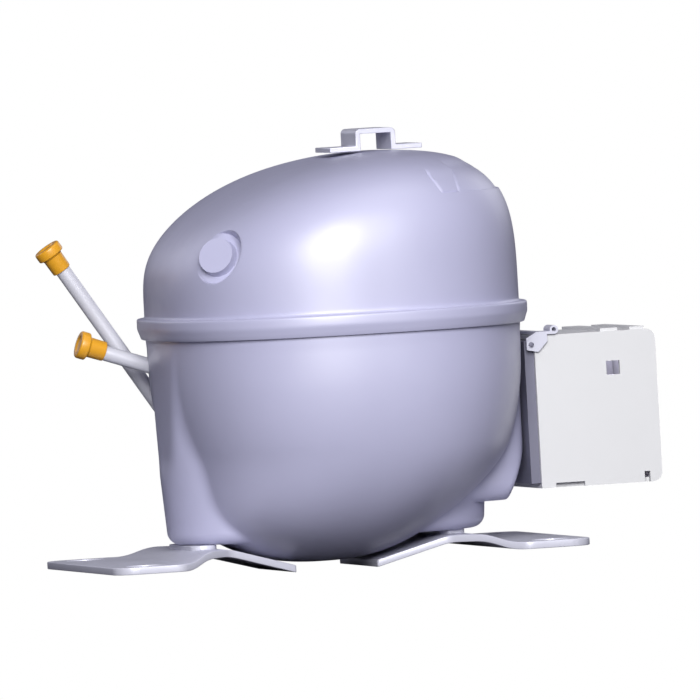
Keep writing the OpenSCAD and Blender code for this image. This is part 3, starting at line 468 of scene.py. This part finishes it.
def add_inside(bm):
    """The upper shell's inner skin, which bulges inwards behind the pocket."""
    to_world = pocket_frame()
    to_local = to_world.inverted()
    bulge_r, bulge_edge, depth = POCKET_R + SHELL_T, 3.0, 25.0
    rings = [wall_ring(LAP_GAP, SEAM_Z), wall_ring(LAP_GAP, RIM_Z + LAP_GAP),
             wall_ring(-SHELL_T, RIM_Z + LAP_GAP)] + dome_rings(-SHELL_T, 40)
    for ring in rings:
        for p in ring:
            local = to_local @ p
            rho = math.hypot(local.x, local.y)
            if rho < bulge_r + bulge_edge and abs(local.z) < depth:
                deep = min(local.z, -POCKET_DEPTH - SHELL_T)
                local.z = mix(local.z, deep, ease((bulge_r + bulge_edge - rho) / bulge_edge))
                p[:] = to_world @ local
    rings_to_bmesh(bm, rings, last_pole=dome_point(-SHELL_T, 0, 90))


# The label field on the right shoulder, drawn in the upright plane that faces LABEL_HEADING degrees
# left of the front: its points are (distance to the right, height).
LABEL_HEADING = 14.0
LABEL_CORNER, LABEL_TOP = Vector((58.4, 147.4)), Vector((51.6, 157.2))
LABEL_RIDGE = [Vector((57.6, 160.5)), Vector((63.2, 156.6)), Vector((65.6, 147.4))]
LABEL_DEPTH, LABEL_STEP, LABEL_EDGE, LABEL_GROOVE = 0.5, 0.5, 0.55, 1.0
SHOULDER_X, SHOULDER_Y, SHOULDER_FADE, FIELD_FADE, LINE_FADE = 32.0, -8.0, 14.0, 5.0, 3.0


def beyond(p, a, b):
    """How far p lies to the upper right of the line from a down to b."""
    along = (b - a).normalized()
    return (p - a).dot(Vector((-along.y, along.x)))


def label_edges(co):
    """How far a point lies inside the field's ledge and its left side, and past its ridge."""
    p = Vector((co.x * cosd(LABEL_HEADING) - co.y * sind(LABEL_HEADING), co.z))
    ridge = max(beyond(p, LABEL_RIDGE[0], LABEL_RIDGE[1]), beyond(p, LABEL_RIDGE[1], LABEL_RIDGE[2]))
    return p.y - LABEL_CORNER.y, beyond(p, LABEL_TOP, LABEL_CORNER), ridge


def on_shoulder(co):
    return co.x > SHOULDER_X and co.y < SHOULDER_Y and co.z > LABEL_CORNER.y - 3


def cut_along(bm, a, b):
    """Cuts the shoulder's faces along the line from a down to b, and at both sides of its groove."""
    along = (b - a).normalized()
    across = Vector((cosd(LABEL_HEADING), -sind(LABEL_HEADING), 0))
    inwards = across * -along.y + Vector((0, 0, along.x))
    for step in (-LABEL_EDGE, 0, LABEL_EDGE):
        faces = [f for f in bm.faces if all(on_shoulder(v.co) for v in f.verts)]
        edges = {e for f in faces for e in f.edges}
        verts = {v for f in faces for v in f.verts}
        start = across * a.x + Vector((0, 0, a.y)) + inwards * step
        bmesh.ops.bisect_plane(bm, geom=list(verts) + list(edges) + faces, plane_co=start, plane_no=inwards)


def line_share(distance):
    """1 on a groove's line and 0 at its sides."""
    return max(0.0, 1 - abs(distance) / LABEL_EDGE)


def press_label_field(bm):
    """Sinks the field into the dome, its part past the ridge further, with a groove along each line."""
    level = Vector((1, 0))
    lines = [(LABEL_CORNER, LABEL_CORNER + level), (LABEL_TOP, LABEL_CORNER),
             LABEL_RIDGE[:2], LABEL_RIDGE[1:]]
    for a, b in lines:
        cut_along(bm, a, b)
    for v in [v for v in bm.verts if on_shoulder(v.co)]:
        ledge, left, ridge = label_edges(v.co)
        below_top, below_ridge = LABEL_TOP.y - v.co.z, LABEL_RIDGE[0].y - v.co.z
        first = ease(left / LABEL_EDGE) * ease(below_top / FIELD_FADE)
        second = ease(ridge / LABEL_EDGE) * ease(below_ridge / LINE_FADE)
        inside = ease(1 + ledge / LABEL_EDGE)
        grooves = (line_share(left) * inside * ease(below_top / LINE_FADE),
                   line_share(ridge) * inside * ease(below_ridge / LINE_FADE),
                   line_share(ledge) * ease(1 + left / LABEL_EDGE))
        depth = LABEL_DEPTH * max(first, second) + LABEL_STEP * second
        depth = depth * ease(ledge / LABEL_EDGE) + LABEL_GROOVE * max(grooves)
        depth *= ease((SHOULDER_Y - v.co.y) / SHOULDER_FADE)
        if depth > 0:
            v.co -= dome_normal(v.co) * depth


def make_upper_shell():
    bm = bmesh.new()
    skirt = [wall_ring(off, SEAM_Z + h) for off, h in SKIRT]
    rings_to_bmesh(bm, skirt + dome_rings(0, 110), last_pole=dome_point(0, 0, 90))
    bmesh.ops.remove_doubles(bm, verts=bm.verts, dist=MERGE)
    seam = {e for e in bm.edges if e.is_boundary}
    press_label_field(bm)
    add_pocket(bm, seam)
    add_inside(bm)
    return finished_mesh("upper_shell_drawn", bm, FINISHES["shell_paint"], sharp=40)


# ---------- pressed feet ----------
PLATFORM_OUT, PLATFORM_RUN = MOTOR_X + LOBE_GAP + 21, 12.0
PLATFORM_IN = PLATFORM_OUT - PLATFORM_RUN
TONGUE_X, TONGUE_Y, TONGUE_DROP, PLATFORM_Y = 17.0, 31.0, 4.6, 38.0
WELD_PAD_H, WELD_PAD_X, WELD_PAD_Y, WELD_PAD_R, SINK = 1.6, 11.0, 44.0, 5.0, 0.4
PLATFORM_Z = LOBE_Z - WELD_PAD_H
PAD_X, PAD_FOLD = FOOT_X - 28, 5.0
BEND, FOOT_EDGE, PAD_EDGE, FOOT_STEP = 3.5, 0.35, 0.3, 1.25


def foot_height(x):
    """Height of a foot's underside over x, with every fold rounded."""
    knots = [(TONGUE_X, -TONGUE_DROP), (PLATFORM_IN, PLATFORM_Z - PLATE_T),
             (PLATFORM_OUT, PLATFORM_Z - PLATE_T), (PAD_X - PAD_FOLD, 0.0), (FOOT_X, 0.0)]
    slopes = [(b[1] - a[1]) / (b[0] - a[0]) for a, b in zip(knots, knots[1:])]
    z = knots[0][1] + slopes[0] * (x - knots[0][0])
    for (knot_x, _), before, after in zip(knots[1:], slopes, slopes[1:]):
        past = min(max(x - knot_x + BEND, 0.0), 2 * BEND)
        z += (after - before) * (past * past / (4 * BEND) + max(0.0, x - knot_x - BEND))
    return z


def rounded_path(corners, steps=6):
    """Corner points with radii, (x, y, r), turned into an outline with round corners."""
    path = []
    count = len(corners)
    for i, (x, y, r) in enumerate(corners):
        here = Vector((x, y))
        to_last = (Vector(corners[i - 1][:2]) - here).normalized()
        to_next = (Vector(corners[(i + 1) % count][:2]) - here).normalized()
        half = to_last.angle(to_next) / 2
        middle = here + (to_last + to_next).normalized() * r / math.sin(half)
        start, end = (here + d * r / math.tan(half) - middle for d in (to_last, to_next))
        sweep = start.angle_signed(end)
        path += [middle + Matrix.Rotation(-sweep * k / steps, 2) @ start for k in range(steps + 1)]
    return path


def circle_path(x, y, r, steps=48):
    return [Vector((x + r * cosd(a), y + r * sind(a))) for a in turn(steps)]


def sheet_bmesh(outlines, thickness, edge):
    """A flat plate of the given outline and holes, lying on z = 0, with rounded edges."""
    curve = bpy.data.curves.new("outline", "CURVE")
    curve.dimensions = "2D"
    curve.fill_mode = "BOTH"
    curve.extrude = thickness / 2 - edge
    curve.bevel_depth = edge
    curve.bevel_resolution = 2
    curve.offset = -edge
    for outline in outlines:
        spline = curve.splines.new("POLY")
        spline.points.add(len(outline) - 1)
        for point, (x, y) in zip(spline.points, outline):
            point.co = (x, y, 0, 1)
        spline.use_cyclic_u = True
    holder = new_object("outline", curve)
    mesh = bpy.data.meshes.new_from_object(holder.evaluated_get(bpy.context.evaluated_depsgraph_get()))
    bm = bmesh.new()
    bm.from_mesh(mesh)
    bpy.data.objects.remove(holder)
    bpy.data.curves.remove(curve)
    bpy.data.meshes.remove(mesh)
    bmesh.ops.remove_doubles(bm, verts=bm.verts, dist=0.001)
    bmesh.ops.translate(bm, vec=(0, 0, thickness / 2), verts=bm.verts)
    return bm


def add_weld_pad(bm):
    """The raised pad between a foot's platform and the lobe above it."""
    middle = (PLATFORM_IN + PLATFORM_OUT) / 2
    low, high = middle - WELD_PAD_X / 2, middle + WELD_PAD_X / 2
    y, r = WELD_PAD_Y / 2, WELD_PAD_R
    outline = rounded_path([(high, y, r), (low, y, r), (low, -y, r), (high, -y, r)])
    pad = sheet_bmesh([outline], WELD_PAD_H + SINK, PAD_EDGE)
    bmesh.ops.translate(pad, vec=(0, 0, PLATFORM_Z - SINK), verts=pad.verts)
    mesh = bpy.data.meshes.new("weld_pad")
    pad.to_mesh(mesh)
    pad.free()
    bm.from_mesh(mesh)
    bpy.data.meshes.remove(mesh)


def make_foot(name, side):
    """A flat blank cut into strips across X, then folded along foot_height."""
    outline = rounded_path([
        (FOOT_X, FOOT_Y, FOOT_CORNER), (PAD_X, FOOT_Y, 6), (PLATFORM_IN, PLATFORM_Y, 8),
        (TONGUE_X, TONGUE_Y, 1), (TONGUE_X, -TONGUE_Y, 1), (PLATFORM_IN, -PLATFORM_Y, 8),
        (PAD_X, -FOOT_Y, 6), (FOOT_X, -FOOT_Y, FOOT_CORNER)])
    holes = [circle_path(HOLE_DX / 2, s * HOLE_DY / 2, HOLE_D / 2) for s in (-1, 1)]
    bm = sheet_bmesh([outline] + holes, PLATE_T, FOOT_EDGE)
    x = TONGUE_X + 1
    while x < FOOT_X - 1:
        everything = list(bm.verts) + list(bm.edges) + list(bm.faces)
        bmesh.ops.bisect_plane(bm, geom=everything, plane_co=(x, 0, 0), plane_no=(1, 0, 0))
        x += FOOT_STEP
    bmesh.ops.triangulate(bm, faces=[f for f in bm.faces if len(f.verts) > 4])
    for v in bm.verts:
        v.co.z += foot_height(v.co.x)
    add_weld_pad(bm)
    bmesh.ops.scale(bm, vec=(side, 1, 1), verts=bm.verts)
    return finished_mesh(name, bm, FINISHES["plated_steel"])


# ---------- pieces made from the CAD's own solids ----------
FLAT_AREA = 6.0
COPLANAR, SHARP_FROM = math.radians(0.3), math.radians(35)


def softened(node, edge, finish):
    """A copy of a CAD node with its sharp edges rounded over by edge and its large faces flat."""
    bm = bmesh.new()
    bm.from_mesh(frame["nodes"][node].data)
    bmesh.ops.remove_doubles(bm, verts=bm.verts, dist=0.002 * MM)
    bmesh.ops.scale(bm, vec=(1 / MM,) * 3, verts=bm.verts)
    bmesh.ops.dissolve_limit(bm, angle_limit=COPLANAR, verts=bm.verts, edges=bm.edges)
    edges = [e for e in bm.edges if len(e.link_faces) == 2 and e.calc_face_angle() > SHARP_FROM]
    bmesh.ops.bevel(bm, geom=edges, offset=edge, segments=2, profile=0.5, affect="EDGES", clamp_overlap=True)
    flat = bm.faces.layers.int.new("flat")
    for face in bm.faces:
        face[flat] = int(face.calc_area() > FLAT_AREA)
    bmesh.ops.triangulate(bm, faces=[f for f in bm.faces if len(f.verts) > 4])
    piece = finished_mesh(node + "_finished", bm, FINISHES[finish], sharp=50)
    for face, mark in zip(piece.data.polygons, piece.data.attributes["flat"].data):
        face.use_smooth = not mark.value
    return piece


def named_joint(name):
    return next(j for j in frame["joints"] if j["name"] == name)


# A plug's outline as distance outside its bore and height over its top, from the bore's end
# round the sleeve and the head to the dished top. Both ends are closed on the axis
PLUG_HEAD = 2.5
PLUG = [(0, -3), (0, -11.4), (0.5, -11.4), (0.75, -11.25), (0.85, -10.9), (0.95, -4.9), (1.1, -4.4),
        (1.6, -4.05), (2.2, -3.9), (2.42, -3.7), (PLUG_HEAD, -3.3), (PLUG_HEAD, -0.9), (2.4, -0.45),
        (2.1, -0.1), (1.7, 0), (0.6, 0), (0.1, -0.12), (-0.3, -0.5), (-0.8, -0.6)]


def make_plug(node, joint, name):
    """A moulded stopper: a thick flanged head and a slim sleeve over the tube's end.

    Its head ends where the CAD plug's box ends, on the side that the plug points to most."""
    low, high = (Vector(c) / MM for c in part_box(node))
    along = Vector(named_joint(joint)["axis"]).normalized()
    turned = Vector((0, 0, 1)).rotation_difference(along).to_matrix().to_4x4()
    bore = TUBE_R + FIT
    most = max(range(3), key=lambda i: abs(along[i]))
    spread = math.sqrt(1 - along[most] ** 2) * (bore + PLUG_HEAD)
    middle = (low + high) / 2
    tip = high[most] - spread if along[most] > 0 else low[most] + spread
    top = middle + along * (tip - middle[most]) / along[most]
    place = Matrix.Translation(top) @ turned
    bm = bmesh.new()
    rings = [[place @ Vector(((bore + out) * cosd(th), (bore + out) * sind(th), h)) for th in turn(72)]
             for out, h in PLUG]
    first, last = (place @ Vector((0, 0, h)) for _, h in (PLUG[0], PLUG[-1]))
    rings_to_bmesh(bm, rings, first, last)
    return finished_mesh(name, bm, FINISHES["plug_rubber"], sharp=40)


# ---------- fitting pieces to the CAD's nodes ----------
SLOTS = {entry["node"]: entry["material_slot"] for entry in frame["record"]["subparts"]}


def wear(mesh, slot):
    """Gives a CAD node's mesh the finish of its material slot."""
    mesh.materials.clear()
    mesh.materials.append(FINISHES[slot])


def stand_in(piece, node, body):
    """piece rides body in place of a CAD node."""
    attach(piece, body)
    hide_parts(node)


def flexing(node):
    """A copy of a part that ties the pump to the shell, in its slot's finish, standing in for the CAD node."""
    piece = new_object(node + "_flexing", frame["nodes"][node].data.copy())
    slot = SLOTS[node]
    wear(piece.data, slot)
    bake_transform(piece)
    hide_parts(node)


# ---------- the object ----------
stand_in(make_lower_shell(), "lower_shell", "shell")
stand_in(make_upper_shell(), "upper_shell", "shell")
stand_in(make_foot("foot_left_pressed", -1), "foot_plate_left", "shell")
stand_in(make_foot("foot_right_pressed", 1), "foot_plate_right", "shell")
for node, body, edge, slot, finish in (
        ("top_bracket", "shell", 0.3, "plated_steel", "plated_steel"),
        ("terminal_fence", "shell", 0.2, "plated_steel", "fence_steel"),
        ("terminal_cover", "cover", 0.45, "cover_plastic", "cover_plastic"),
        ("cover_latch", "latch", 0.15, "plated_steel", "plated_steel"),
        ("start_relay", "shell", 0.5, "relay_plastic", "relay_plastic"),
        ("earth_screw", "shell", 0.25, "brass", "brass"),
        ("overload_clip", "shell", 0.12, "plated_steel", "plated_steel")):
    stand_in(softened(node, edge, finish), node, body)
for which in ("suction", "discharge", "process"):
    plug = make_plug("plug_" + which, which + "_plug_pull", "plug_" + which + "_moulded")
    stand_in(plug, "plug_" + which, which + "_plug")
for entry in named_joint("pump_bob")["deforming_nodes"]:
    flexing(entry["node"])

for node, slot in SLOTS.items():
    wear(frame["nodes"][node].data, slot)


# ---------- studio, in metres and degrees ----------
CAMERA_AZIMUTH, CAMERA_ELEVATION, CAMERA_ROLL = -14.4, 1.6, 3.2
CAMERA_DISTANCE, FRAME_WIDTH = 9.0, 0.2856
AIM = Vector((0.0173, -0.0044, 0.0836))
FLOOR_SIZE, FLOOR_GAP = 12.0, 0.0003


def white_to_camera(tree, shader, glow, output):
    """Shows glow to the camera and leaves shader for every other ray."""
    seen = tree.nodes.new("ShaderNodeLightPath")
    both = tree.nodes.new("ShaderNodeMixShader")
    tree.links.new(seen.outputs["Is Camera Ray"], both.inputs[0])
    tree.links.new(shader.outputs[0], both.inputs[1])
    tree.links.new(glow.outputs[0], both.inputs[2])
    tree.links.new(both.outputs[0], tree.nodes[output].inputs["Surface"])


def make_floor():
    """White where the camera looks, and dark to everything else, so the underside stays in shade."""
    bm = bmesh.new()
    bmesh.ops.create_grid(bm, x_segments=1, y_segments=1, size=FLOOR_SIZE)
    mesh = bpy.data.meshes.new("floor")
    bm.to_mesh(mesh)
    bm.free()
    floor = new_object("floor", mesh)
    floor.location.z = CAD_BOX[0][2] - FLOOR_GAP
    n = Nodes("floor_paper")
    n.shader.inputs["Base Color"].default_value = (0.10, 0.10, 0.12, 1)
    n.shader.inputs["Roughness"].default_value = 0.9
    glow = n.add("ShaderNodeEmission", Color=(1, 1, 1, 1), Strength=1.0)
    white_to_camera(n.tree, n.shader, glow, "Material Output")
    mesh.materials.append(n.material)


def make_world():
    """White where the camera looks, and a dim cool fill for the object."""
    world = bpy.data.worlds.new("studio")
    bpy.context.scene.world = world
    world.use_nodes = True
    tree = world.node_tree
    fill = tree.nodes["Background"]
    fill.inputs["Color"].default_value = (0.80, 0.80, 1.0, 1)
    fill.inputs["Strength"].default_value = 0.17
    white = tree.nodes.new("ShaderNodeBackground")
    white.inputs["Color"].default_value = (1, 1, 1, 1)
    white.inputs["Strength"].default_value = 1.0
    white_to_camera(tree, fill, white, "World Output")


def direction(azimuth, elevation):
    """Unit vector towards a spot seen from the object; azimuth 0 is the front, -Y, and 90 is +X."""
    return Vector((sind(azimuth) * cosd(elevation), -cosd(azimuth) * cosd(elevation), sind(elevation)))


def make_light(name, azimuth, elevation, distance, size, power, color=(1, 1, 1)):
    data = bpy.data.lights.new(name, "AREA")
    data.shape = "DISK"
    data.size = size
    data.energy = power
    data.color = color
    lamp = new_object(name, data)
    away = direction(azimuth, elevation)
    lamp.location = AIM + away * distance
    lamp.rotation_mode = "QUATERNION"
    lamp.rotation_quaternion = away.to_track_quat("Z", "Y")


def make_glow(name, place, power):
    """A small cool lamp that keeps a hollow's inside from going black."""
    data = bpy.data.lights.new(name, "POINT")
    data.energy = power
    data.color = (0.80, 0.78, 1.0)
    data.shadow_soft_size = 0.003
    new_object(name, data).location = place


def make_camera():
    """A long lens from the front's left, a little above, held turned by CAMERA_ROLL."""
    back = direction(CAMERA_AZIMUTH, CAMERA_ELEVATION)
    right = Vector((cosd(CAMERA_AZIMUTH), sind(CAMERA_AZIMUTH), 0))
    up = back.cross(right)
    axes = Matrix((right * cosd(CAMERA_ROLL) - up * sind(CAMERA_ROLL),
                   right * sind(CAMERA_ROLL) + up * cosd(CAMERA_ROLL), back)).transposed()
    data = bpy.data.cameras.new("camera")
    data.sensor_width = 36
    data.lens = data.sensor_width * CAMERA_DISTANCE / FRAME_WIDTH
    data.clip_end = 60
    camera = new_object("camera", data)
    camera.matrix_world = Matrix.Translation(AIM + back * CAMERA_DISTANCE) @ axes.to_4x4()
    bpy.context.scene.camera = camera


bpy.context.scene.view_settings.view_transform = "Standard"
make_floor()
make_world()
make_light("key", azimuth=-12, elevation=22, distance=1.6, size=0.9, power=35)
make_light("top", azimuth=40, elevation=70, distance=1.5, size=0.9, power=2.5)
make_light("left_back", azimuth=-150, elevation=20, distance=1.6, size=0.8, power=2, color=(0.86, 0.86, 1.0))
make_light("right_back", azimuth=130, elevation=20, distance=1.6, size=0.8, power=2.5, color=(0.9, 0.9, 1.0))
make_glow("inside_cover", place=(0.130, 0.012, 0.075), power=0.007)
make_camera()
